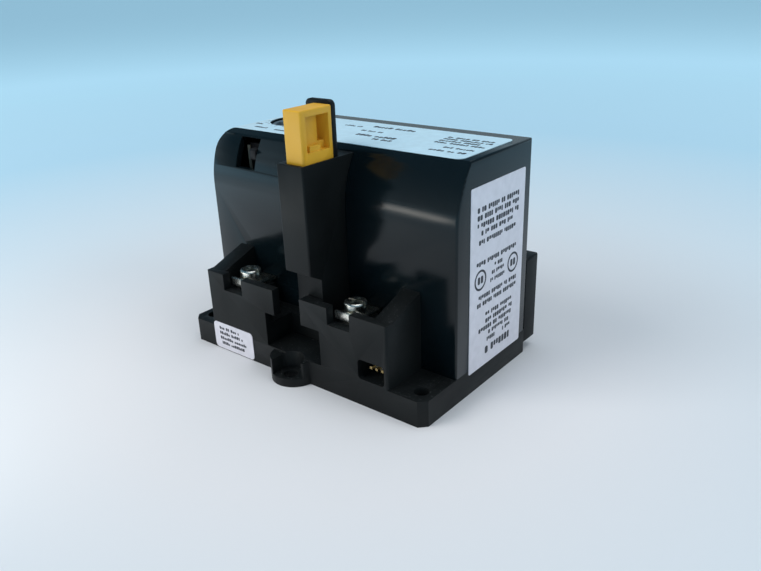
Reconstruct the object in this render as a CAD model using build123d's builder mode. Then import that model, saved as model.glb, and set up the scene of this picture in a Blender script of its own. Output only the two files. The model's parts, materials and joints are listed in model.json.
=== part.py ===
"""Solid-state overload control relay: base, curved cover, reset tower, contacts and electronics.

Frame: +Z up, out of the mounting face. X runs along the long terminal side, -Y faces the
terminal side. The origin is the bottom centre of the whole outline. Millimetres.
"""
import os
from math import cos, radians, sin, sqrt

from build123d import *

# ---- driving dimensions -------------------------------------------------------------------
half_w = 48.0            # half of the width along X
base_front = -28.0       # front face of the base and of the terminal block
cover_front = -12.4      # straight lower front of the cover
cover_back = 26.6
rear_back = 34.0         # back of the rear terminal block
flange_h = 8.0
floor_t = 2.5            # base floor under the electronics
cover_top = 69.0
wall = 2.0               # cover wall
bend_z = 50.9            # where the cover's front starts to curve back
bend_r = 29.0            # radius of that curve
shoulder_r = 7.0         # rounding of the cover's upper left shoulder

block_l = -37.5          # front terminal block, left and right ends
block_r = 36.0
block_top = 27.5
block_wall = 2.8         # front wall of the block
trough_floor = 15.0

screw_y = -20.0          # terminal screws
terminals_x = (-25.5, 18.7)
strip_z = 22.4           # underside of the terminal strips

rear_top = 31.7
rear_lift = 3.0          # the rear block stops this far above the mounting face
rear_xs = (-33.0, -11.0, 11.0, 33.0)

tower_l = -0.1           # reset tower, left and right sides
tower_r = 9.75
tower_front = -28.5
tower_top = 67.2
tower_foot = 33.6        # underside of the tower's overhanging front
channel_l = 2.15         # the channel that the reset cap slides in
channel_r = 9.15
channel_front = -27.25
rod_x = 5.6              # axis of the reset rod
rod_y = -21.0
reset_travel = 4.0
arm_low = 23.6           # side arm of the rod, at rest
arm_high = 27.6

dial_x = -31.0
dial_y = 11.8
dial_r = 8.7

board_z = 47.0           # underside of the circuit board
board_t = 1.6
slack = 0.2              # clearance at sliding faces

os.makedirs("parts", exist_ok=True)


def keep(solid, name):
    """Label a finished piece and write its STEP file."""
    solid.label = name
    export_step(solid, f"parts/{name}.step")


def box(x0, x1, y0, y1, z0, z1, mode=Mode.ADD):
    """Add or cut an axis-aligned block given by its two corners."""
    with Locations(((x0 + x1) / 2, (y0 + y1) / 2, (z0 + z1) / 2)):
        Box(x1 - x0, y1 - y0, z1 - z0, mode=mode)


def post(x, y, z0, z1, radius, mode=Mode.ADD):
    """Add or cut a vertical cylinder between two heights."""
    with Locations((x, y, (z0 + z1) / 2)):
        Cylinder(radius, z1 - z0, mode=mode)


def cover_outline(inset, bottom):
    """Edges of the cover's YZ outline: straight front, curve back to the flat top, back."""
    front = cover_front + inset
    back = cover_back - inset
    top = cover_top - inset
    radius = bend_r - inset
    centre_y = cover_front + bend_r
    rise = top - bend_z
    corner_y = centre_y - sqrt(radius**2 - rise**2)
    half = rise / 2
    middle_y = centre_y - sqrt(radius**2 - half**2)
    with BuildLine() as outline:
        Line((front, bottom), (front, bend_z))
        ThreePointArc((front, bend_z), (middle_y, bend_z + half), (corner_y, top))
        Polyline((corner_y, top), (back, top), (back, bottom), (front, bottom))
    return outline.edges()


# ---- base: flange, front terminal block, foot lug ------------------------------------------
lug_x = -1.5
lug_y = -26.4
lug_r = 7.6
foot_hole = (0.0, -30.0)
foot_hole_r = 2.25
ear_x = 43.5
ear_y = -22.7
ear_r = 2.2
foot_plate = 2.6
recess_top = 19.2        # dark recess above the foot
cheek_t = 6.0            # end walls of the terminal block
cheek_back_top = 32.0
cover_screw_at = [(-42.4, 7.5), (42.4, 7.5)]

with BuildPart() as base:
    box(-half_w, half_w, base_front, cover_back, 0, flange_h)
    box(block_l, block_r, base_front, cover_front, 0, block_top)
    # end walls rise towards the cover
    for x0 in (block_l, block_r - cheek_t):
        with BuildSketch(Plane.YZ.offset(x0)):
            with BuildLine():
                Polyline((base_front, flange_h), (base_front, block_top), (base_front + 3, block_top),
                         (cover_front, cheek_back_top), (cover_front, flange_h), close=True)
            make_face()
        extrude(amount=cheek_t)
    post(lug_x, lug_y, 0, 7.4, lug_r)
    # troughs behind the front wall hold the terminals
    trough_l = block_l + cheek_t
    trough_r = block_r - cheek_t
    box(trough_l, -1.6, base_front + block_wall, cover_front, trough_floor, 40, Mode.SUBTRACT)
    box(9.9, trough_r, base_front + block_wall, cover_front, trough_floor, 40, Mode.SUBTRACT)
    # slot for the reset rod and the recess above the foot
    box(-7.4, 3.8, base_front, -18, 12, 40, Mode.SUBTRACT)
    box(tower_l - 0.1, tower_r + 0.2, -24.2, cover_front, 18, 40, Mode.SUBTRACT)
    box(-11.5, 11.0, base_front, -17, flange_h, recess_top, Mode.SUBTRACT)
    # foot: screw seat open to the front, with a through hole
    post(*foot_hole, foot_plate, recess_top, 4.4, Mode.SUBTRACT)
    box(-4.4, 7.0, base_front - 8, foot_hole[1], foot_plate, 9, Mode.SUBTRACT)
    post(*foot_hole, -1, 5, foot_hole_r, Mode.SUBTRACT)
    for side in (-1, 1):
        post(side * ear_x, ear_y, -1, 10, ear_r, Mode.SUBTRACT)
    # wire entries through the front wall and posts under the terminals
    for x in terminals_x:
        box(x - 4.2, x + 4.2, base_front, base_front + block_wall, strip_z - 0.2, 40, Mode.SUBTRACT)
        box(x - 5, x + 5, base_front + block_wall, -14.6, trough_floor, strip_z)
        post(x, screw_y, 12, strip_z, 1.6, Mode.SUBTRACT)
    # square socket opening at the right
    with BuildSketch(Plane.XZ.offset(-base_front)):
        with Locations((30.0, 11.7)):
            RectangleRounded(9.4, 6.2, 1.2)
    extrude(amount=-9, mode=Mode.SUBTRACT)
    # room for the electronics
    box(-44, 44, cover_front + 4.4, 24.4, floor_t, 40, Mode.SUBTRACT)
    # ledge that the cover drops onto
    box(-half_w, half_w, cover_front, cover_back, flange_h, 40, Mode.SUBTRACT)
    flange_corners = base.edges().filter_by(Axis.Z).filter_by(
        lambda e: abs(abs(e.center().X) - half_w) < 0.01 and abs(e.center().Y - base_front) < 0.01)
    chamfer(flange_corners, 2.2)
    block_corners = base.edges().filter_by(Axis.Z).filter_by(
        lambda e: e.center().X in (block_l, block_r) and abs(e.center().Y - base_front) < 0.01)
    fillet(block_corners, 0.7)
    # pads and countersunk holes for the screws that hold the cover
    for x, y in cover_screw_at:
        post(x, y, 0, flange_h, 3.4)
        post(x, y, -1, 10, 1.6, Mode.SUBTRACT)
        post(x, y, -1, 2.0, 3.0, Mode.SUBTRACT)
keep(base.part, "base")

# ---- cover ---------------------------------------------------------------------------------
shoulder_x = -half_w + shoulder_r
shoulder_z = cover_top - shoulder_r


def shoulder_point(radius, angle):
    """Point (x, z) on a circle about the shoulder's axis, angle in degrees from straight up."""
    return (shoulder_x - radius * sin(radians(angle)), shoulder_z + radius * cos(radians(angle)))


notch_l = -37.2
notch_r = -28.4
notch_low = 57.6
notch_high = 66.9
with BuildPart() as cover:
    with BuildSketch(Plane.YZ.offset(-half_w)):
        make_face(cover_outline(0, flange_h))
    extrude(amount=2 * half_w)
    right_rim = cover.edges().filter_by(
        lambda e: abs(e.center().X - half_w) < 0.01 and e.center().Z > flange_h + 1)
    fillet(right_rim, 0.7)
    with BuildSketch(Plane.YZ.offset(-half_w + wall)):
        make_face(cover_outline(wall, flange_h - 1))
    extrude(amount=2 * (half_w - wall), mode=Mode.SUBTRACT)
    # rounded upper left shoulder, as thick as the other walls
    box(-half_w + wall / 2, shoulder_x, -7.5, cover_back - 1, shoulder_z, cover_top - 1.5)
    with BuildSketch(Plane.XZ.offset(-cover_back)):
        with BuildLine():
            Polyline((-half_w, shoulder_z), (-half_w, cover_top), (shoulder_x, cover_top))
            ThreePointArc((shoulder_x, cover_top), shoulder_point(shoulder_r, 45),
                          (-half_w, shoulder_z))
        make_face()
    extrude(amount=50, mode=Mode.SUBTRACT)
    with Locations((shoulder_x, (cover_back - wall - 7) / 2, shoulder_z)):
        Cylinder(shoulder_r - wall, cover_back - wall + 7, rotation=(90, 0, 0), mode=Mode.SUBTRACT)
    # notch in the curved front for the test lever
    box(notch_l, notch_r, -16, -4.5, notch_low, notch_high, Mode.SUBTRACT)
    # dial opening and the slot for the reset arm
    post(dial_x, dial_y, 60, 75, dial_r + 0.35, Mode.SUBTRACT)
    post(dial_x, dial_y, 60, 66.9, dial_r + 1.7, Mode.SUBTRACT)
    box(rod_x - 2.2, rod_x + 2.2, -14, -9, arm_low - reset_travel - 0.6, arm_high + 0.8, Mode.SUBTRACT)
    # passages for the terminal strips, front and back
    for x in terminals_x:
        box(x - 3.4, x + 3.4, -14, -9, strip_z - 0.2, strip_z + 1.2, Mode.SUBTRACT)
    for x in rear_xs:
        box(x - 3.4, x + 3.4, 23, 28, 17.8, 19.2, Mode.SUBTRACT)
    # bosses for the screws from below, each with a rib to the side wall
    for x, y in cover_screw_at:
        post(x, y, flange_h, 30, 3.4)
        box(x - 4.2, x + 4.2, y - 1.2, y + 1.2, flange_h, 30)
        post(x, y, flange_h, 25, 1.3, Mode.SUBTRACT)
keep(cover.part, "cover")

# ---- rear terminal block -------------------------------------------------------------------
rear_screw_y = 30.8
rear_strip_z = 18.0
strip_t = 1.0
with BuildPart() as rear_block:
    box(-half_w, half_w, cover_back, rear_back, rear_lift, rear_top)
    for x in rear_xs:
        box(x - 6, x + 6, cover_back + 1, rear_back, rear_strip_z + strip_t, rear_top,
            Mode.SUBTRACT)
        box(x - 3.4, x + 3.4, cover_back, rear_back - 0.4, rear_strip_z, rear_strip_z + strip_t,
            Mode.SUBTRACT)
        post(x, rear_screw_y, 10, rear_strip_z, 1.6, Mode.SUBTRACT)
    outer = rear_block.edges().filter_by(
        lambda e: abs(abs(e.center().X) - half_w) < 0.01 and e.center().Y > cover_back + 1)
    fillet(outer, 0.8)
keep(rear_block.part, "rear_block")

# ---- reset tower ---------------------------------------------------------------------------
shelf_z = 36.0           # floor of the channel, under the spring
guide_front = -14.6      # plate behind the cap
guide_back = -12.8
guide_low = 52.0
tower_lower_front = -24.0
tower_low = 18.0
with BuildPart() as reset_tower:
    with BuildSketch(Plane.YZ.offset(tower_l)):
        with BuildLine():
            Polyline((tower_front, tower_foot + 2.5), (tower_front, tower_top), (0, tower_top),
                     (0, tower_low), (tower_lower_front, tower_low),
                     (tower_lower_front, tower_foot), close=True)
        make_face()
    extrude(amount=tower_r - tower_l)
    with BuildSketch(Plane.YZ.offset(-20)):
        make_face(cover_outline(-0.04, 0))
    extrude(amount=40, mode=Mode.SUBTRACT)
    edges = reset_tower.edges().filter_by(Axis.Z).filter_by(
        lambda e: abs(e.center().Y - tower_front) < 0.01)
    fillet(edges, 0.5)
    # channel for the cap and the spring, closed below by the shelf
    box(channel_l, channel_r, channel_front, guide_front, shelf_z, 80, Mode.SUBTRACT)
    post(rod_x, rod_y, 10, 40, 2.65, Mode.SUBTRACT)
    box(rod_x - 2.1, rod_x + 2.1, rod_y, -5, 10, arm_high + 0.8, Mode.SUBTRACT)
    # slot for the plate behind the cap
    box(-5, 8.7, guide_front, guide_back, guide_low, 80, Mode.SUBTRACT)
keep(reset_tower.part, "reset_tower")

with BuildPart() as cap_guide:
    with BuildSketch(Plane.XZ.offset(-guide_front)):
        with Locations((3.8, (guide_low + 82.6) / 2)):
            RectangleRounded(9.6, 82.6 - guide_low, 1.6)
    extrude(amount=-(guide_back - guide_front))
keep(cap_guide.part, "cap_guide")

# ---- reset cap, rod and spring -------------------------------------------------------------
cap_l = channel_l + 0.25
cap_r = channel_r - 0.25
cap_front = channel_front + slack
cap_back = guide_front - slack
cap_low = 58.0
cap_seen = 68.0          # lowest part of the cap that shows
cap_top = 81.6
with BuildPart() as reset_cap:
    box(cap_l, cap_r, cap_front, cap_back, cap_low, cap_top)
    fillet(reset_cap.edges().filter_by(Axis.Z), 0.5)
    fillet(reset_cap.edges().group_by(Axis.Z)[-1], 0.45)
    # finger recess in the right side, with a deeper slot and a ledge at its foot
    box(cap_r - 2.2, cap_r + 1, cap_front + 1.9, cap_back - 1.5, cap_seen + 2.1, cap_top - 1.9,
        Mode.SUBTRACT)
    box(cap_r - 4.4, cap_r - 2, cap_back - 4.0, cap_back - 1.5, cap_seen + 4.2, cap_top - 1.9,
        Mode.SUBTRACT)
    box(cap_r - 2.6, cap_r - 0.5, cap_front + 3.4, cap_back - 4.6, cap_seen + 2.1, cap_seen + 3.7)
    post(rod_x, rod_y, cap_low - 1, cap_low + 4, 2.5, Mode.SUBTRACT)
keep(reset_cap.part, "reset_cap")

with BuildPart() as reset_rod:
    post(rod_x, rod_y, 22.4, cap_low + 4, 2.5)
    box(rod_x - 1.8, rod_x + 1.8, rod_y, -6.6, arm_low, arm_high)
keep(reset_rod.part, "reset_rod")

spring_r = 2.95
spring_wire = 0.28
spring_low = shelf_z + spring_wire
spring_high = cap_low - spring_wire
with BuildPart() as reset_spring:
    with BuildLine() as spring_path:
        Helix((spring_high - spring_low) / 7, spring_high - spring_low, spring_r,
              center=(rod_x, rod_y, spring_low))
    with BuildSketch(Plane(origin=spring_path.line @ 0, z_dir=spring_path.line % 0)):
        Circle(spring_wire)
    sweep(is_frenet=True)
keep(reset_spring.part, "reset_spring")

# ---- setting dial and potentiometer --------------------------------------------------------
dial_top = 68.5
with BuildPart() as setting_dial:
    post(dial_x, dial_y, 66.6, dial_top, dial_r)
    fillet(setting_dial.edges().group_by(Axis.Z)[-1], 0.5)
    post(dial_x, dial_y, 65.2, 66.6, dial_r + 1.3)
    post(dial_x, dial_y, 52.0, 65.2, 2.0)
    # raised grip bar left between two sunk halves
    for side in (-1, 1):
        with BuildSketch(Plane.XY.offset(dial_top - 1.1)):
            with Locations((dial_x, dial_y)):
                Circle(dial_r - 1.4)
            with Locations((dial_x, dial_y - side * dial_r)):
                Rectangle(2 * dial_r, 2 * dial_r + 3.2, mode=Mode.SUBTRACT)
        extrude(amount=3, mode=Mode.SUBTRACT)
    # pointer groove at one end of the bar
    box(dial_x + 3.5, dial_x + 7.0, dial_y - 0.4, dial_y + 0.4, dial_top - 0.4, dial_top + 1,
        Mode.SUBTRACT)
keep(setting_dial.part, "setting_dial")

board_top = board_z + board_t
with BuildPart() as potentiometer:
    box(dial_x - 4.2, dial_x + 4.2, dial_y - 4.2, dial_y + 4.2, board_top, 54.8)
    post(dial_x, dial_y, 54.8, 57.5, 3.4)
    post(dial_x, dial_y, 51.6, 60, 2.05, Mode.SUBTRACT)
keep(potentiometer.part, "potentiometer")

# ---- test lever and its switch -------------------------------------------------------------
carriage_front = -5.0
carriage_back = -3.4
with BuildPart() as test_lever:
    box(notch_l + 0.4, notch_r - 0.4, carriage_front, carriage_back, 55.5, 64.5)
    box(-31.6, notch_r - 0.4, -10.2, carriage_front, 60.4, 64.0)
    box(-34.4, -31.2, carriage_front, carriage_back, 54.6, 55.5)
    tip = test_lever.edges().filter_by(Axis.X).filter_by(lambda e: e.center().Y < -10)
    fillet(tip, 0.8)
keep(test_lever.part, "test_lever")

with BuildPart() as test_guide:
    box(notch_l - 0.9, notch_r + 1.6, carriage_front, -1.6, board_top, 63.5)
    box(notch_l + 0.1, notch_r - 0.1, carriage_front - 1, carriage_back + 0.3, board_top, 66,
        Mode.SUBTRACT)
keep(test_guide.part, "test_guide")

with BuildPart() as test_switch:
    box(-35.6, -30.0, carriage_front - 1.5, carriage_back + 0.2, board_top, 51.2)
    post(-32.8, carriage_front + 0.6, 51.2, 52.0, 1.0)
keep(test_switch.part, "test_switch")

# ---- circuit board and what stands on it ---------------------------------------------------
board_holes = [(x, y) for x in (-41.0, 41.0) for y in (-5.0, 19.4)]
with BuildPart() as circuit_board:
    box(-44, 44, -8, 22, board_z, board_top)
    for x, y in board_holes:
        post(x, y, board_z - 1, board_top + 1, 1.6, Mode.SUBTRACT)
keep(circuit_board.part, "circuit_board")

with BuildPart() as board_posts:
    for x, y in board_holes:
        post(x, y, floor_t, board_z, 3.0)
        post(x, y, 36, board_z, 1.5, Mode.SUBTRACT)
keep(board_posts.part, "board_posts")

with BuildPart() as board_screws:
    for x, y in board_holes:
        post(x, y, 38, board_top, 1.5)
        post(x, y, board_top, board_top + 1.9, 2.8)
        box(x - 2, x + 2, y - 0.35, y + 0.35, board_top + 1, board_top + 3, Mode.SUBTRACT)
keep(board_screws.part, "board_screws")

with BuildPart() as capacitors:
    for x in (8, 19, 30):
        post(x, 13, board_top, board_top + 12, 4.0)
    fillet(capacitors.edges().filter_by(GeomType.CIRCLE).group_by(Axis.Z)[-1], 0.6)
keep(capacitors.part, "capacitors")

with BuildPart() as chips:
    for x, y, length in ((-12, 12, 18), (-12, 2, 10), (12, 1, 10)):
        box(x - length / 2, x + length / 2, y - 3.2, y + 3.2, board_top + 0.4, board_top + 3.6)
        for side in (-1, 1):
            for pin in range(int(length / 2.54)):
                pin_x = x - length / 2 + 1.4 + 2.54 * pin
                box(pin_x - 0.25, pin_x + 0.25, y + side * 3.6 - 0.4, y + side * 3.6 + 0.4,
                    board_top, board_top + 2)
keep(chips.part, "chips")

with BuildPart() as resistors:
    for row in range(2):
        for col in range(5):
            with Locations((24 + 3.2 * col, -4.0 + 6 * row, board_top + 1.2)):
                Cylinder(1.1, 4.2, rotation=(90, 0, 0))
keep(resistors.part, "resistors")

# ---- current-sensing transformers ----------------------------------------------------------
core_w = 22.0
core_d = 12.0
core_h = 20.0
limb = 7.0
window_w = 4.5
window_h = 12.0
core_y = 13.6
for letter, x in zip("abc", (-25.5, 0.0, 25.5)):
    middle_z = floor_t + core_h / 2
    with BuildPart() as core:
        box(x - core_w / 2, x + core_w / 2, core_y - core_d / 2, core_y + core_d / 2, floor_t,
            floor_t + core_h)
        for side in (-1, 1):
            window_x = x + side * (limb + window_w) / 2
            box(window_x - window_w / 2, window_x + window_w / 2, 0, 30, middle_z - window_h / 2,
                middle_z + window_h / 2, Mode.SUBTRACT)
    keep(core.part, f"transformer_core_{letter}")
    with BuildPart() as winding:
        with BuildSketch(Plane.XY.offset(middle_z - window_h / 2 + 0.3)):
            with Locations((x, core_y)):
                RectangleRounded(limb + 7.6, core_d + 7.6, 3.0)
                Rectangle(limb + 0.2, core_d + 0.2, mode=Mode.SUBTRACT)
        extrude(amount=window_h - 0.6)
    keep(winding.part, f"transformer_winding_{letter}")

# ---- trip magnet: stand, yoke, core, bobbin, coil, armature --------------------------------
pivot_x = 12.0
pivot_z = 30.0
magnet_y = -3.0
coil_z = 38.0
with BuildPart() as mechanism_stand:
    box(18, 34, -7, 1, floor_t, 27.8)
keep(mechanism_stand.part, "mechanism_stand")

with BuildPart() as trip_yoke:
    box(14.4, 35.2, -7.6, 1.6, 27.8, 29.2)
    box(33.6, 35.2, -7.6, 1.6, 29.2, 45.5)
    for y in (-9.2, 2.0):
        box(10.2, 17.0, y, y + 1.2, 27.8, 32.0)
        with Locations((pivot_x, y + 0.6, pivot_z)):
            Cylinder(0.8, 3, rotation=(90, 0, 0), mode=Mode.SUBTRACT)
    box(14.4, 17.0, -9.2, 3.2, 27.8, 29.2)
    with Locations((34.4, magnet_y, coil_z)):
        Cylinder(1.6, 3, rotation=(0, 90, 0), mode=Mode.SUBTRACT)
keep(trip_yoke.part, "trip_yoke")

with BuildPart() as trip_core:
    with Locations((25.8, magnet_y, coil_z)):
        Cylinder(2.4, 15.6, rotation=(0, 90, 0))
    with Locations((15.9, magnet_y, coil_z)):
        Cylinder(4.0, 1.4, rotation=(0, 90, 0))
    with Locations((17.3, magnet_y, coil_z)):
        Cylinder(2.4, 1.8, rotation=(0, 90, 0))
    with Locations((34.6, magnet_y, coil_z)):
        Cylinder(1.6, 2.0, rotation=(0, 90, 0))
keep(trip_core.part, "trip_core")

with BuildPart() as trip_bobbin:
    with Locations((25.4, magnet_y, coil_z)):
        Cylinder(3.2, 16.0, rotation=(0, 90, 0))
    for x in (17.6, 33.2):
        with Locations((x, magnet_y, coil_z)):
            Cylinder(7.0, 0.8, rotation=(0, 90, 0))
    with Locations((25.4, magnet_y, coil_z)):
        Cylinder(2.4, 30, rotation=(0, 90, 0), mode=Mode.SUBTRACT)
keep(trip_bobbin.part, "trip_bobbin")

with BuildPart() as trip_coil:
    with Locations((25.4, magnet_y, coil_z)):
        Cylinder(6.5, 14.8, rotation=(0, 90, 0))
        Cylinder(3.2, 20, rotation=(0, 90, 0), mode=Mode.SUBTRACT)
keep(trip_coil.part, "trip_coil")

with BuildPart() as armature_pin:
    with Locations((pivot_x, magnet_y, pivot_z)):
        Cylinder(0.8, 12.4, rotation=(90, 0, 0))
keep(armature_pin.part, "armature_pin")

with BuildPart() as armature:
    box(pivot_x - 0.6, pivot_x + 0.6, -7.4, 1.4, 17.8, 44.0)
    with Locations((pivot_x, magnet_y, pivot_z)):
        Cylinder(1.8, 8.8, rotation=(90, 0, 0))
        Cylinder(0.85, 20, rotation=(90, 0, 0), mode=Mode.SUBTRACT)
    box(8.0, pivot_x - 0.5, -6.0, -3.0, 21.0, 22.2)
keep(armature.part, "armature")

# ---- contacts ------------------------------------------------------------------------------
carrier_z = 18.6
with BuildPart() as contact_block:
    box(-20, 7.5, -7.9, 2.2, floor_t, carrier_z - 0.3)
    box(-14.5, -6.0, -8.4, -5.0, 14, 30, Mode.SUBTRACT)
    box(-14.5, -6.0, -1.0, 2.4, 14, 30, Mode.SUBTRACT)
keep(contact_block.part, "contact_block")

with BuildPart() as contact_carrier:
    box(-16.5, pivot_x - 0.9, -4.2, -1.8, carrier_z, carrier_z + 1.8)
    box(-12.5, -6.5, -4.2, -1.8, carrier_z + 1.8, carrier_z + 5)
    box(-10.2, -9.2, -6, 0, carrier_z + 1.8, carrier_z + 3.8, Mode.SUBTRACT)
keep(contact_carrier.part, "contact_carrier")

with BuildPart() as contact_bridge:
    box(-10.2, -9.2, -8.0, 2.0, carrier_z + 1.8, carrier_z + 3.8)
    for y in (-7.0, 1.0):
        box(-9.2, -8.4, y - 0.9, y + 0.9, carrier_z + 1.9, carrier_z + 3.7)
keep(contact_bridge.part, "contact_bridge")

strip_half = 3.0
strip_high = strip_z + strip_t
bridge_z = carrier_z + 1.8
with BuildPart() as contact_strip_left:
    x = terminals_x[0]
    box(x - strip_half, x + strip_half, -23.6, -9.0, strip_z, strip_high)
    post(x, screw_y, strip_z - 1, strip_high + 1, 1.6, Mode.SUBTRACT)
    box(x - strip_half, -7.2, -10.0, -9.0, bridge_z, strip_high)
    box(-7.2, -6.2, -10.0, -6.0, bridge_z, bridge_z + 2)
    box(-8.3, -7.2, -7.9, -6.1, bridge_z + 0.1, bridge_z + 1.9)
keep(contact_strip_left.part, "contact_strip_left")

with BuildPart() as contact_strip_right:
    x = terminals_x[1]
    box(x - strip_half, x + strip_half, -23.6, -9.2, strip_z, strip_high)
    post(x, screw_y, strip_z - 1, strip_high + 1, 1.6, Mode.SUBTRACT)
    box(x - strip_half, x + strip_half, -10.2, -9.2, 10.0, strip_high)
    box(9.0, x + strip_half, -10.2, -9.2, 10.0, 12.0)
    box(9.0, 10.0, -10.2, 3.5, 10.0, 12.0)
    box(-7.2, 10.0, 2.5, 3.5, 10.0, 12.0)
    box(-7.2, -6.2, 2.5, 3.5, 10.0, bridge_z + 2)
    box(-7.2, -6.2, 0.1, 3.5, bridge_z, bridge_z + 2)
    box(-8.3, -7.2, 0.1, 1.9, bridge_z + 0.1, bridge_z + 1.9)
keep(contact_strip_right.part, "contact_strip_right")

with BuildPart() as return_leaf:
    box(-19.4, -19.0, -4.6, -1.4, carrier_z - 0.3, carrier_z + 3.4)
    box(-19.4, -16.9, -4.6, -1.4, carrier_z + 3.0, carrier_z + 3.4)
keep(return_leaf.part, "return_leaf")

# ---- terminals -----------------------------------------------------------------------------
head_r = 3.4
with BuildPart() as terminal_screws:
    for x in terminals_x:
        post(x, screw_y, 14, strip_high + 1.2, 1.5)
        post(x, screw_y, strip_high + 1.2, strip_high + 4.6, head_r)
    fillet(terminal_screws.edges().group_by(Axis.Z)[-1], 0.7)
    for x in terminals_x:
        box(x - 4, x + 4, screw_y - 0.5, screw_y + 0.5, strip_high + 3.2, 30, Mode.SUBTRACT)
        box(x - 0.5, x + 0.5, screw_y - 2, screw_y + 2, strip_high + 3.2, 30, Mode.SUBTRACT)
keep(terminal_screws.part, "terminal_screws")

clamp_front = -25.0
with BuildPart() as terminal_clamps:
    for x in terminals_x:
        box(x - 3.9, x + 3.9, clamp_front, -16.4, strip_high, strip_high + 1.2)
        box(x - 3.9, x + 3.9, clamp_front, clamp_front + 1.1, strip_high, strip_high + 2.4)
        post(x, screw_y, strip_z, strip_high + 2, 1.5, Mode.SUBTRACT)
keep(terminal_clamps.part, "terminal_clamps")

rear_high = rear_strip_z + strip_t
with BuildPart() as rear_strips:
    for x in rear_xs:
        box(x - 3.2, x + 3.2, 23.8, rear_back - 0.6, rear_strip_z, rear_high)
        post(x, rear_screw_y, 10, 30, 1.6, Mode.SUBTRACT)
keep(rear_strips.part, "rear_strips")

with BuildPart() as rear_clamps:
    for x in rear_xs:
        box(x - 4, x + 4, 27.8, rear_back - 0.3, rear_high, rear_high + 1.2)
        post(x, rear_screw_y, 10, 30, 1.5, Mode.SUBTRACT)
keep(rear_clamps.part, "rear_clamps")

with BuildPart() as rear_screws:
    for x in rear_xs:
        post(x, rear_screw_y, 12, rear_high + 1.2, 1.5)
        post(x, rear_screw_y, rear_high + 1.2, rear_high + 4.2, 3.0)
    fillet(rear_screws.edges().group_by(Axis.Z)[-1], 0.6)
    for x in rear_xs:
        box(x - 4, x + 4, rear_screw_y - 0.5, rear_screw_y + 0.5, rear_high + 3, 30, Mode.SUBTRACT)
keep(rear_screws.part, "rear_screws")

# ---- screws that hold the cover ------------------------------------------------------------
with BuildPart() as cover_screws:
    for x, y in cover_screw_at:
        post(x, y, 0.3, 2.0, 2.9)
        post(x, y, 2.0, 24, 1.3)
        box(x - 2.2, x + 2.2, y - 0.4, y + 0.4, 0, 1.2, Mode.SUBTRACT)
keep(cover_screws.part, "cover_screws")

# ---- accessory socket ----------------------------------------------------------------------
with BuildPart() as socket_body:
    box(26.4, 33.6, -22.0, -19.0, 9.4, 14.0)
    fillet(socket_body.edges().filter_by(Axis.Y), 0.8)
keep(socket_body.part, "socket_body")

with BuildPart() as socket_pins:
    for x in (28.0, 30.0, 32.0):
        box(x - 0.4, x + 0.4, -25.4, -22.0, 11.2, 12.0)
keep(socket_pins.part, "socket_pins")

# ---- labels --------------------------------------------------------------------------------
label_t = 0.15
label_right = 45.1
label_back = 21.5
label_outer = shoulder_r + label_t
wrap = 46                # degrees of the shoulder that the top label follows
with BuildPart() as rating_label:
    with BuildSketch(Plane.XZ.offset(-label_back)):
        with BuildLine():
            Polyline((shoulder_x, cover_top), (label_right, cover_top),
                     (label_right, cover_top + label_t), (shoulder_x, cover_top + label_t))
            ThreePointArc((shoulder_x, cover_top + label_t), shoulder_point(label_outer, wrap / 2),
                          shoulder_point(label_outer, wrap))
            Line(shoulder_point(label_outer, wrap), shoulder_point(shoulder_r, wrap))
            ThreePointArc(shoulder_point(shoulder_r, wrap), shoulder_point(shoulder_r, wrap / 2),
                          (shoulder_x, cover_top))
        make_face()
    extrude(amount=27.5)
    label_corners = rating_label.edges().filter_by(Axis.Z).filter_by(
        lambda e: abs(e.center().X - label_right) < 0.01)
    fillet(label_corners, 2.0)
    post(dial_x, dial_y, 60, 75, dial_r + 0.5, Mode.SUBTRACT)
keep(rating_label.part, "rating_label")

with BuildPart() as end_label:
    with BuildSketch(Plane.YZ.offset(half_w)):
        with Locations((8.4, 34.0)):
            RectangleRounded(29.0, 55.0, 0.6)
    extrude(amount=label_t)
keep(end_label.part, "end_label")

with BuildPart() as date_sticker:
    with BuildSketch(Plane.XZ.offset(-base_front)):
        with Locations((-27.9, 5.0)):
            RectangleRounded(18.6, 9.4, 1.4)
    extrude(amount=label_t)
keep(date_sticker.part, "date_sticker")
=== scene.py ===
import json
import math
import random

import bpy
from mathutils import Matrix, Vector


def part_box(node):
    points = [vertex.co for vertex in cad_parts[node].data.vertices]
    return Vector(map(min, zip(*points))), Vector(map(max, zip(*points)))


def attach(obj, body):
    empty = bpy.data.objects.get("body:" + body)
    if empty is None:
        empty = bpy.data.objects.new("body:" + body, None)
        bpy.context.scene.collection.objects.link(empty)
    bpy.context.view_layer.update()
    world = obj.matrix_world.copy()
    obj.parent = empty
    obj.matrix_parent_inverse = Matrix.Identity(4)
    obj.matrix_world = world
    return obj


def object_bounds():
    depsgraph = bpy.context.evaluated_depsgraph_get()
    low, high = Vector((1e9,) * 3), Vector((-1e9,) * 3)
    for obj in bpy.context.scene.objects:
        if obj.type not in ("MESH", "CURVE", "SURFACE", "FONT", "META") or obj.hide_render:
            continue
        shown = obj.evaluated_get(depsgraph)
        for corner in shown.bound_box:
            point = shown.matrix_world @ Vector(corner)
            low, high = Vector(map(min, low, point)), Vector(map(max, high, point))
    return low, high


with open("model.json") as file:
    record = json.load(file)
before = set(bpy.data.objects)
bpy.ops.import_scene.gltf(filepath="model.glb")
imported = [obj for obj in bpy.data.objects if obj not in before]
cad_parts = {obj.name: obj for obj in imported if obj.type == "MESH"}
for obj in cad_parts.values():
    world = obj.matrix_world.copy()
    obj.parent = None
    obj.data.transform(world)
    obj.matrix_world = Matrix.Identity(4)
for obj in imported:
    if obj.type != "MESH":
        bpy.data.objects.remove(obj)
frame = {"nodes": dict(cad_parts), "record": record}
cad_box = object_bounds()

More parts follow.
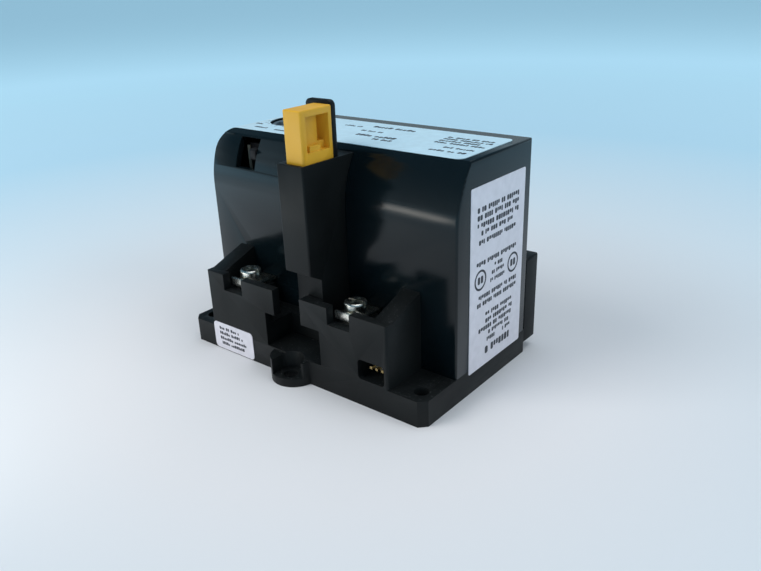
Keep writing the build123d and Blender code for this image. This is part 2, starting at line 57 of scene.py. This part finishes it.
# Looks of an overload control relay. Metres, +Z up, the terminals face -Y.
MM = 0.001
PRINT_T = 0.02 * MM          # thickness of printed ink
GRAIN = 0.35 * MM            # width of the grain of moulded plastic
LACQUER = 1.2 * MM           # width of the flow marks in lacquer
DUST = (0.36, 0.37, 0.38, 1)
INK = (0.018, 0.02, 0.028, 1)


# ---- node helpers ---------------------------------------------------------------------------
def new_material(name):
    """An empty principled material: (material, node tree, shader)."""
    material = bpy.data.materials.new(name)
    material.use_nodes = True
    tree = material.node_tree
    return material, tree, tree.nodes["Principled BSDF"]


def surface_point(tree, stretch=(1, 1, 1)):
    """Object coordinates, stretched along the axes."""
    place = tree.nodes.new("ShaderNodeTexCoord")
    mapping = tree.nodes.new("ShaderNodeMapping")
    mapping.inputs["Scale"].default_value = stretch
    tree.links.new(place.outputs["Object"], mapping.inputs["Vector"])
    return mapping.outputs["Vector"]


def noise(tree, size, detail=4.0, stretch=(1, 1, 1)):
    """Noise whose blobs are about size metres wide."""
    node = tree.nodes.new("ShaderNodeTexNoise")
    node.inputs["Scale"].default_value = 1 / size
    node.inputs["Detail"].default_value = detail
    tree.links.new(surface_point(tree, stretch), node.inputs["Vector"])
    return node.outputs["Fac"]


def bands(tree, pitch, direction, profile="SIN"):
    """Straight bands of the given pitch in metres, for windings and laminations."""
    node = tree.nodes.new("ShaderNodeTexWave")
    node.bands_direction = direction
    node.wave_profile = profile
    node.inputs["Scale"].default_value = 0.314 / pitch
    node.inputs["Distortion"].default_value = 0.15
    tree.links.new(surface_point(tree), node.inputs["Vector"])
    return node.outputs["Fac"]


def ramp(tree, value, *stops):
    """Colour or grey ramp: stops are (position, colour)."""
    node = tree.nodes.new("ShaderNodeValToRGB")
    while len(node.color_ramp.elements) < len(stops):
        node.color_ramp.elements.new(0.5)
    for element, (position, colour) in zip(node.color_ramp.elements, stops):
        element.position = position
        element.color = colour
    tree.links.new(value, node.inputs["Fac"])
    return node.outputs["Color"]


def grey(value):
    return (value, value, value, 1)


def shade(colour, factor):
    return (colour[0] * factor, colour[1] * factor, colour[2] * factor, 1)


def mixed(tree, factor, first, second):
    """first where factor is 0, second where it is 1."""
    node = tree.nodes.new("ShaderNodeMix")
    node.data_type = "RGBA"
    tree.links.new(factor, node.inputs["Factor"])
    for socket, colour in ((node.inputs["A"], first), (node.inputs["B"], second)):
        if isinstance(colour, tuple):
            socket.default_value = colour
        else:
            tree.links.new(colour, socket)
    return node.outputs["Result"]


def bump(tree, shader, height, distance, under=None):
    """Relief of the given depth in metres, on top of the relief under it."""
    node = tree.nodes.new("ShaderNodeBump")
    node.inputs["Distance"].default_value = distance
    node.inputs["Strength"].default_value = 1.0
    tree.links.new(height, node.inputs["Height"])
    if under is not None:
        tree.links.new(under, node.inputs["Normal"])
    tree.links.new(node.outputs["Normal"], shader.inputs["Normal"])
    return node.outputs["Normal"]


def upward(tree):
    """1 on faces that look up, 0 on the others."""
    place = tree.nodes.new("ShaderNodeNewGeometry")
    split = tree.nodes.new("ShaderNodeSeparateXYZ")
    tree.links.new(place.outputs["Normal"], split.inputs["Vector"])
    return ramp(tree, split.outputs["Z"], (0.55, grey(0)), (0.95, grey(1)))


# ---- materials ------------------------------------------------------------------------------
def moulded(name, colour, rough, grain_depth=0.012 * MM, dust=0.25, spread=0.25, specular=0.2,
            uneven=0.06):
    """Moulded plastic: faint flow marks, fine grain, uneven gloss, a little dust on top faces."""
    material, tree, shader = new_material(name)
    flow = noise(tree, 14 * MM, 5, (1, 1, 0.5))
    tint = ramp(tree, flow, (0.35, shade(colour, 1 - spread)), (0.65, shade(colour, 1 + spread)))
    specks = ramp(tree, noise(tree, 0.45 * MM, 3), (0.64, grey(0)), (0.74, grey(dust)))
    settled = tree.nodes.new("ShaderNodeMath")
    settled.operation = "MULTIPLY"
    tree.links.new(specks, settled.inputs[0])
    tree.links.new(upward(tree), settled.inputs[1])
    dusty = mixed(tree, settled.outputs["Value"], tint, DUST)
    tree.links.new(dusty, shader.inputs["Base Color"])
    gloss = ramp(tree, noise(tree, 5 * MM, 6), (0.3, grey(rough)), (0.7, grey(rough + uneven)))
    tree.links.new(gloss, shader.inputs["Roughness"])
    waves = bump(tree, shader, noise(tree, 22 * MM, 1), 0.012 * MM)
    bump(tree, shader, noise(tree, GRAIN, 3), grain_depth, under=waves)
    shader.inputs["Specular IOR Level"].default_value = specular
    return material


def metal(name, colour, rough, stretch, tarnish=0.5):
    """Plated metal: fine brushed streaks, slight tarnish and uneven gloss."""
    material, tree, shader = new_material(name)
    stain = noise(tree, 3 * MM, 6)
    tint = ramp(tree, stain, (0.38, shade(colour, tarnish)), (0.6, shade(colour, 1)))
    tree.links.new(tint, shader.inputs["Base Color"])
    streaks = noise(tree, 0.25 * MM, 4, stretch)
    gloss = ramp(tree, streaks, (0.3, grey(rough - 0.08)), (0.7, grey(rough + 0.1)))
    tree.links.new(gloss, shader.inputs["Roughness"])
    bump(tree, shader, streaks, 0.02 * MM)
    shader.inputs["Metallic"].default_value = 1.0
    return material


def wound(name, colour, pitch, direction):
    """Enamelled wire laid turn by turn, with painted shade darkening the grooves between turns."""
    material, tree, shader = new_material(name)
    turns = bands(tree, pitch, direction)
    # painted shade: the colour drops to about a third in the grooves between turns
    tint = ramp(tree, turns, (0.05, shade(colour, 0.35)), (0.5, shade(colour, 1)))
    tree.links.new(tint, shader.inputs["Base Color"])
    gloss = ramp(tree, noise(tree, 1.5 * MM), (0.3, grey(0.22)), (0.7, grey(0.36)))
    tree.links.new(gloss, shader.inputs["Roughness"])
    bump(tree, shader, turns, 0.12 * MM)
    shader.inputs["Metallic"].default_value = 0.85
    return material


def laminated(name, colour, pitch, direction):
    """A stack of steel sheets seen at the edges."""
    material, tree, shader = new_material(name)
    sheets = bands(tree, pitch, direction, "SAW")
    tint = ramp(tree, sheets, (0.1, shade(colour, 0.4)), (0.3, shade(colour, 1)))
    tree.links.new(tint, shader.inputs["Base Color"])
    gloss = ramp(tree, noise(tree, 2 * MM, 6), (0.3, grey(0.38)), (0.7, grey(0.6)))
    tree.links.new(gloss, shader.inputs["Roughness"])
    bump(tree, shader, sheets, 0.05 * MM)
    shader.inputs["Metallic"].default_value = 0.9
    return material


def board_mask(name):
    """Green solder mask over faint copper tracks."""
    material, tree, shader = new_material(name)
    cells = tree.nodes.new("ShaderNodeTexBrick")
    cells.inputs["Scale"].default_value = 1 / (9 * MM)
    cells.inputs["Color1"].default_value = (0.012, 0.10, 0.035, 1)
    cells.inputs["Color2"].default_value = (0.016, 0.14, 0.05, 1)
    cells.inputs["Mortar"].default_value = (0.05, 0.24, 0.09, 1)
    cells.inputs["Mortar Size"].default_value = 0.04
    tree.links.new(surface_point(tree), cells.inputs["Vector"])
    tree.links.new(cells.outputs["Color"], shader.inputs["Base Color"])
    gloss = ramp(tree, noise(tree, 3 * MM), (0.3, grey(0.25)), (0.7, grey(0.4)))
    tree.links.new(gloss, shader.inputs["Roughness"])
    bump(tree, shader, cells.outputs["Fac"], -0.03 * MM)
    return material


def film(name, colour, rough):
    """Printed label film: paper-like mottling, faint waves, matt ink side."""
    material, tree, shader = new_material(name)
    mottling = noise(tree, 2.5 * MM, 8)
    tint = ramp(tree, mottling, (0.3, shade(colour, 0.93)), (0.7, shade(colour, 1.03)))
    tree.links.new(tint, shader.inputs["Base Color"])
    gloss = ramp(tree, noise(tree, 6 * MM, 4), (0.3, grey(rough - 0.06)), (0.7, grey(rough + 0.06)))
    tree.links.new(gloss, shader.inputs["Roughness"])
    bump(tree, shader, noise(tree, 7 * MM, 2), 0.04 * MM)
    return material


def ink(name, colour):
    """Printed ink, a little worn."""
    material, tree, shader = new_material(name)
    wear = noise(tree, 0.5 * MM, 5)
    tint = ramp(tree, wear, (0.3, colour), (0.75, shade(colour, 1.7)))
    tree.links.new(tint, shader.inputs["Base Color"])
    gloss = ramp(tree, wear, (0.3, grey(0.45)), (0.7, grey(0.6)))
    tree.links.new(gloss, shader.inputs["Roughness"])
    return material


def coated(name, colour, rough):
    """Small lacquered or sleeved components."""
    material, tree, shader = new_material(name)
    tint = ramp(tree, noise(tree, LACQUER, 5), (0.3, shade(colour, 0.75)), (0.7, shade(colour, 1.15)))
    tree.links.new(tint, shader.inputs["Base Color"])
    gloss = ramp(tree, noise(tree, LACQUER * 2, 3), (0.3, grey(rough)), (0.7, grey(rough + 0.12)))
    tree.links.new(gloss, shader.inputs["Roughness"])
    bump(tree, shader, noise(tree, LACQUER / 3, 2), 0.01 * MM)
    return material


def build_materials():
    """One Blender material per material slot of the record."""
    return {
        "housing_black": moulded("housing_black", (0.0062, 0.0075, 0.0078), 0.42),
        "cover_black": moulded("cover_black", (0.0030, 0.0068, 0.0088), 0.16, grain_depth=0.002 * MM,
                               dust=0.1, spread=0.12, specular=0.3, uneven=0.03),
        "cap_yellow": moulded("cap_yellow", (0.78, 0.41, 0.030), 0.38, dust=0.05, spread=0.05,
                              specular=0.4),
        "lever_black": moulded("lever_black", (0.008, 0.008, 0.009), 0.5),
        "dial_grey": moulded("dial_grey", (0.10, 0.14, 0.17), 0.34, dust=0.1, specular=0.4),
        "component_blue": coated("component_blue", (0.03, 0.09, 0.36), 0.32),
        "inner_plastic": moulded("inner_plastic", (0.42, 0.38, 0.30), 0.45, spread=0.1),
        "board_green": board_mask("board_green"),
        "capacitor_sleeve": coated("capacitor_sleeve", (0.012, 0.016, 0.04), 0.22),
        "chip_black": coated("chip_black", (0.012, 0.012, 0.013), 0.5),
        "resistor_tan": coated("resistor_tan", (0.50, 0.34, 0.19), 0.35),
        "plated_steel": metal("plated_steel", (0.90, 0.88, 0.80), 0.25, (1, 6, 1), 0.65),
        "spring_steel": metal("spring_steel", (0.52, 0.53, 0.55), 0.3, (1, 1, 4)),
        "core_steel": laminated("core_steel", (0.26, 0.27, 0.29), 0.5 * MM, "Y"),
        "winding_copper": wound("winding_copper", (0.62, 0.22, 0.07), 0.45 * MM, "Z"),
        "contact_brass": metal("contact_brass", (0.72, 0.53, 0.24), 0.26, (5, 1, 1)),
        "tinned_strip": metal("tinned_strip", (0.84, 0.81, 0.71), 0.28, (5, 1, 1), 0.65),
        "label_top": film("label_top", (0.57, 0.79, 0.90), 0.36),
        "label_white": film("label_white", (0.74, 0.72, 0.78), 0.42),
    }


# ---- CAD nodes: finish and rounded edges ----------------------------------------------------
def round_edges(piece, radius):
    """Rounds the sharp edges of a CAD node with modifiers only; its own mesh stays as it is."""
    for polygon in piece.data.polygons:
        polygon.use_smooth = True
    weld = piece.modifiers.new("weld", "WELD")
    weld.merge_threshold = 0.001 * MM
    flat = piece.modifiers.new("flat", "DECIMATE")
    flat.decimate_type = "DISSOLVE"
    flat.angle_limit = math.radians(0.4)
    edge = piece.modifiers.new("edge", "BEVEL")
    edge.width = radius
    edge.segments = 2
    edge.limit_method = "ANGLE"
    edge.angle_limit = math.radians(32)
    edge.use_clamp_overlap = True
    edge.harden_normals = True
    edge.miter_outer = "MITER_ARC"


# edge radius in millimetres of each node that shows
EDGE_OF = {
    "base": 0.3, "cover": 0.3, "rear_block": 0.3, "reset_tower": 0.25, "cap_guide": 0.25,
    "reset_cap": 0.22, "setting_dial": 0.2, "test_lever": 0.2, "terminal_screws": 0.16,
    "terminal_clamps": 0.14, "rear_screws": 0.16, "rear_clamps": 0.14,
}


def dress_cad_nodes(materials):
    """Gives every CAD node the material of its slot, and rounds the edges of those that show."""
    slot_of = {row["node"]: row["material_slot"] for row in frame["record"]["subparts"]}
    for node, piece in frame["nodes"].items():
        slot = slot_of[node]
        piece.data.materials.clear()
        piece.data.materials.append(materials[slot])
        if node in EDGE_OF:
            round_edges(piece, EDGE_OF[node] * MM)


# ---- generic print ------------------------------------------------------------------------
class Print:
    """Flat marks on a label, laid out along two directions from its centre, u and v."""

    def __init__(self, name, centre, u_axis, v_axis):
        self.name = name
        self.centre = centre
        self.u_axis = u_axis
        self.v_axis = v_axis
        self.normal = u_axis.cross(v_axis)
        self.vertices = []
        self.faces = []

    def outline(self, points):
        """Adds a prism of ink over a flat closed outline of (u, v) points."""
        first = len(self.vertices)
        count = len(points)
        for lift in (0, PRINT_T):
            for u, v in points:
                place = self.centre + self.u_axis * u + self.v_axis * v + self.normal * lift
                self.vertices.append(place)
        self.faces.append([first + count + i for i in range(count)])
        self.faces.append([first + i for i in reversed(range(count))])
        for i in range(count):
            j = (i + 1) % count
            self.faces.append([first + i, first + j, first + count + j, first + count + i])

    def bar(self, u, v, width, height):
        """A bar with its lower left corner at (u, v) and cut corners."""
        cut = min(width, height) * 0.22
        self.outline([
            (u + cut, v), (u + width - cut, v), (u + width, v + cut), (u + width, v + height - cut),
            (u + width - cut, v + height), (u + cut, v + height), (u, v + height - cut), (u, v + cut),
        ])

    def ring(self, u, v, radius, width, sides=36):
        """A ring made of short bars that share their ends."""
        for i in range(sides):
            angles = (2 * math.pi * i / sides, 2 * math.pi * (i + 1) / sides)
            inner = [(u + (radius - width) * math.cos(a), v + (radius - width) * math.sin(a))
                     for a in angles]
            outer = [(u + radius * math.cos(a), v + radius * math.sin(a)) for a in angles]
            self.outline([inner[0], outer[0], outer[1], inner[1]])

    def row(self, draw, u, v, length, height, letters=(2, 8)):
        """A row of word-like groups of short bars, with no readable letter."""
        end = u + length
        while u < end:
            for _ in range(draw.randint(*letters)):
                width = height * draw.uniform(0.45, 0.8)
                if u + width > end:
                    break
                self.bar(u, v, width, height * draw.choice((1, 1, 0.72)))
                u += width + height * 0.14
            u += height * 0.6

    def finish(self, material, body):
        mesh = bpy.data.meshes.new(self.name)
        mesh.from_pydata(self.vertices, [], self.faces)
        mesh.materials.append(material)
        piece = bpy.data.objects.new(self.name, mesh)
        bpy.context.scene.collection.objects.link(piece)
        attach(piece, body)
        return piece


def print_end_label(material):
    """Rows of small print, two round marks and one bold line, all upside down on the end."""
    low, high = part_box("end_label")
    centre = Vector((high.x, (low.y + high.y) / 2, (low.z + high.z) / 2))
    marks = Print("end_label_print", centre, Vector((0, -1, 0)), Vector((0, 0, -1)))
    draw = random.Random(5)
    half = (high.y - low.y) / 2
    left = -half + 3.4 * MM
    full = 2 * half - 5.8 * MM
    # v runs downwards on the part; start and share are parts of the full length of a row
    for v, start, share, height in (
        (-21.6, 0.0, 0.97, 1.5), (-19.4, 0.0, 1.0, 1.5), (-17.1, 0.0, 1.0, 1.5),
        (-14.8, 0.14, 0.75, 1.4), (-12.2, 0.06, 0.92, 1.4),
        (-5.9, 0.03, 0.95, 1.4), (-3.4, 0.36, 0.22, 1.2), (-1.3, 0.32, 0.3, 1.2), (0.9, 0.3, 0.36, 1.2),
        (4.4, 0.0, 0.95, 1.35), (6.6, 0.0, 0.97, 1.35),
        (10.6, 0.1, 0.66, 1.4), (12.7, 0.08, 0.68, 1.4), (14.8, 0.1, 0.8, 1.4), (16.9, 0.16, 0.55, 1.3),
        (19.0, 0.12, 0.22, 1.3), (19.0, 0.5, 0.2, 1.3),
    ):
        marks.row(draw, left + start * full, v * MM, share * full, height * MM)
    for u, v in ((5.6 * MM - half, -0.1 * MM), (half - 5.4 * MM, -0.4 * MM)):
        marks.ring(u, v, 3.1 * MM, 0.65 * MM)
        marks.bar(u - 1.4 * MM, v - 1.1 * MM, 1.2 * MM, 2.2 * MM)
        marks.bar(u + 0.2 * MM, v - 1.1 * MM, 1.2 * MM, 2.2 * MM)
    # the one bold line, near the foot
    marks.row(draw, left + 3.0 * MM, 21.8 * MM, 14 * MM, 2.3 * MM, (7, 7))
    marks.finish(material, "housing")


def print_top_label(material):
    """Short blocks of print to the right of the tower and beside the dial."""
    low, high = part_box("rating_label")
    centre = Vector(((low.x + high.x) / 2, (low.y + high.y) / 2, high.z))
    marks = Print("rating_label_print", centre, Vector((1, 0, 0)), Vector((0, 1, 0)))
    draw = random.Random(11)
    for x, y, length, height in (
        (-2, 15.6, 18, 1.9), (-2, 9.6, 9, 1.3), (-12, 13.6, 7, 1.3), (0.5, 4.0, 17, 2.0), (9, 1.2, 8, 1.6),
        (27, 14.2, 16, 1.4), (27, 11.9, 17, 1.4), (27, 9.6, 14, 1.4), (27, 7.2, 17, 1.4),
        (33, 2.8, 10, 1.4), (31, -1.2, 13, 1.6),
        (-40.4, 1.4, 3.2, 1.3), (-36.5, -2.8, 7, 1.3), (-27, -3.4, 7, 1.2),
    ):
        marks.row(draw, x * MM - centre.x, y * MM - centre.y, length * MM, height * MM)
    print_dial_scale(marks, centre, low.x + 5.3 * MM)
    marks.finish(material, "housing")


def print_dial_scale(marks, centre, flat_from):
    """Ticks around the dial, longer at every third, on the flat part of the label only."""
    low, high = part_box("setting_dial")
    dial = (low + high) / 2
    ticks = 19
    inner = 9.5 * MM
    for i in range(ticks):
        angle = math.radians(-225 + 270 * i / (ticks - 1))
        outer = inner + (1.3 if i % 3 == 0 else 0.8) * MM
        if dial.x + outer * math.cos(angle) < flat_from:
            continue
        along = Vector((math.cos(angle), math.sin(angle)))
        across = Vector((-along.y, along.x)) * 0.14 * MM
        shift = Vector((dial.x - centre.x, dial.y - centre.y))
        corners = [shift + along * r + across * side
                   for r, side in ((inner, -1), (outer, -1), (outer, 1), (inner, 1))]
        marks.outline([tuple(c) for c in corners])


def print_date_sticker(material):
    """Four rows of small print on the sticker of the front flange."""
    low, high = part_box("date_sticker")
    centre = Vector(((low.x + high.x) / 2, low.y, (low.z + high.z) / 2))
    marks = Print("date_sticker_print", centre, Vector((1, 0, 0)), Vector((0, 0, 1)))
    draw = random.Random(3)
    for v, start, length in ((2.3, -6.6, 9.5), (0.5, -6.6, 11.5), (-1.3, -6.6, 13), (-3.1, -6.0, 12)):
        marks.row(draw, start * MM, v * MM, length * MM, 1.1 * MM)
    marks.finish(material, "housing")


# ---- stage, light and camera ----------------------------------------------------------------
FLOOR_NEAR = (0.78, 0.77, 0.78, 1)
FLOOR_MIDDLE = (0.68, 0.76, 0.81, 1)
FLOOR_BLUE = (0.47, 0.68, 0.80, 1)
FLOOR_FAR = (0.44, 0.66, 0.76, 1)
FLOOR_GLOW = (0.23, 0.38, 0.46, 1)
SKY_LOW = (0.34, 0.44, 0.50, 1)
SKY_HIGH = (0.06, 0.15, 0.23, 1)
FLOOR_REACH = 1.6            # metres from the part that the floor's colours are spread over
CAMERA_AT = (0.14688, -0.16466, 0.11476)
CAMERA_AZIMUTH = 39.39       # degrees from -Y towards +X
CAMERA_ELEVATION = 23.11
CAMERA_ROLL = -2.08
CAMERA_LENS = 35.1           # mm, on a sensor 36 mm wide


def make_floor():
    """A wide pale floor that turns from warm white near the part to blue far away."""
    rings = [0.0, 0.1, 0.25, 0.6, 1.5, 4.0, 12.0]
    sides = 96
    vertices = [Vector((0, 0, 0))]
    faces = []
    for radius in rings[1:]:
        for i in range(sides):
            angle = 2 * math.pi * i / sides
            vertices.append(Vector((radius * math.cos(angle), radius * math.sin(angle), 0)))
    for i in range(sides):
        faces.append([0, 1 + i, 1 + (i + 1) % sides])
    for ring in range(len(rings) - 2):
        first = 1 + ring * sides
        for i in range(sides):
            j = (i + 1) % sides
            faces.append([first + i, first + sides + i, first + sides + j, first + j])
    mesh = bpy.data.meshes.new("floor")
    mesh.from_pydata(vertices, [], faces)
    floor = bpy.data.objects.new("floor", mesh)
    bpy.context.scene.collection.objects.link(floor)
    floor.location.z = cad_box[0].z - 0.02 * MM
    material, tree, shader = new_material("floor")
    place = tree.nodes.new("ShaderNodeNewGeometry")
    length = tree.nodes.new("ShaderNodeVectorMath")
    length.operation = "LENGTH"
    tree.links.new(place.outputs["Position"], length.inputs[0])
    share = tree.nodes.new("ShaderNodeMath")
    share.operation = "DIVIDE"
    share.inputs[1].default_value = FLOOR_REACH
    tree.links.new(length.outputs["Value"], share.inputs[0])
    tint = ramp(tree, share.outputs["Value"],
                (0.05, FLOOR_NEAR), (0.11, FLOOR_MIDDLE), (0.22, FLOOR_BLUE), (0.9, FLOOR_FAR))
    tree.links.new(tint, shader.inputs["Base Color"])
    glow = ramp(tree, share.outputs["Value"], (0.08, grey(0)), (0.5, FLOOR_GLOW))
    tree.links.new(glow, shader.inputs["Emission Color"])
    shader.inputs["Emission Strength"].default_value = 1.0
    shader.inputs["Roughness"].default_value = 0.75
    shader.inputs["Specular IOR Level"].default_value = 0.2
    mesh.materials.append(material)


def add_area(name, place, target, size, power, colour, mirrored=False):
    """An area light; glossy faces show its own shape only where mirrored is set."""
    light = bpy.data.lights.new(name, "AREA")
    light.shape = "RECTANGLE"
    light.size, light.size_y = size
    light.energy = power
    light.color = colour
    lamp = bpy.data.objects.new(name, light)
    lamp.location = place
    lamp.visible_glossy = mirrored
    lamp.rotation_mode = "QUATERNION"
    lamp.rotation_quaternion = (Vector(target) - Vector(place)).to_track_quat("-Z", "Y")
    bpy.context.scene.collection.objects.link(lamp)


def make_lights():
    """Broad lights from above, and a studio that is bright low down and dark overhead."""
    world = bpy.data.worlds.new("studio")
    world.use_nodes = True
    tree = world.node_tree
    sky = tree.nodes["Background"]
    place = tree.nodes.new("ShaderNodeTexCoord")
    split = tree.nodes.new("ShaderNodeSeparateXYZ")
    tree.links.new(place.outputs["Generated"], split.inputs["Vector"])
    tree.links.new(ramp(tree, split.outputs["Z"], (0.05, SKY_LOW), (0.55, SKY_HIGH)), sky.inputs["Color"])
    sky.inputs["Strength"].default_value = 1.0
    bpy.context.scene.world = world
    bpy.context.scene.view_settings.view_transform = "Standard"
    centre = (cad_box[0] + cad_box[1]) / 2
    add_area("key", (-0.42, -0.62, 0.70), centre, (0.55, 0.55), 4.9, (1.0, 0.98, 0.96))
    add_area("side", (0.75, 0.05, 0.55), centre, (0.5, 0.5), 1.8, (1.0, 0.97, 0.95))
    add_area("top", (0.10, 0.15, 0.95), centre, (0.9, 0.9), 4.6, (0.97, 0.99, 1.0),
             mirrored=True)
    add_area("strip", (-0.13, -0.150, 0.034), (-0.13, 0, 0.050), (0.20, 0.014), 0.06, (1.0, 0.93, 0.84),
             mirrored=True)


def make_camera():
    """The camera at the front right, a little above the part."""
    azimuth = math.radians(CAMERA_AZIMUTH)
    elevation = math.radians(CAMERA_ELEVATION)
    roll = math.radians(CAMERA_ROLL)
    back = Vector((math.sin(azimuth) * math.cos(elevation),
                   -math.cos(azimuth) * math.cos(elevation), math.sin(elevation)))
    level = (-back).cross(Vector((0, 0, 1))).normalized()
    rise = level.cross(-back)
    right = level * math.cos(roll) + rise * math.sin(roll)
    up = rise * math.cos(roll) - level * math.sin(roll)
    data = bpy.data.cameras.new("camera")
    data.sensor_width = 36
    data.sensor_fit = "HORIZONTAL"
    data.lens = CAMERA_LENS
    data.clip_start = 0.01
    data.clip_end = 50
    camera = bpy.data.objects.new("camera", data)
    turn = Matrix((right, up, back)).transposed().to_4x4()
    camera.matrix_world = Matrix.Translation(CAMERA_AT) @ turn
    bpy.context.scene.collection.objects.link(camera)
    bpy.context.scene.camera = camera


materials = build_materials()
dress_cad_nodes(materials)
label_ink = ink("label_ink", INK)
print_end_label(label_ink)
print_top_label(label_ink)
print_date_sticker(label_ink)
make_floor()
make_lights()
make_camera()
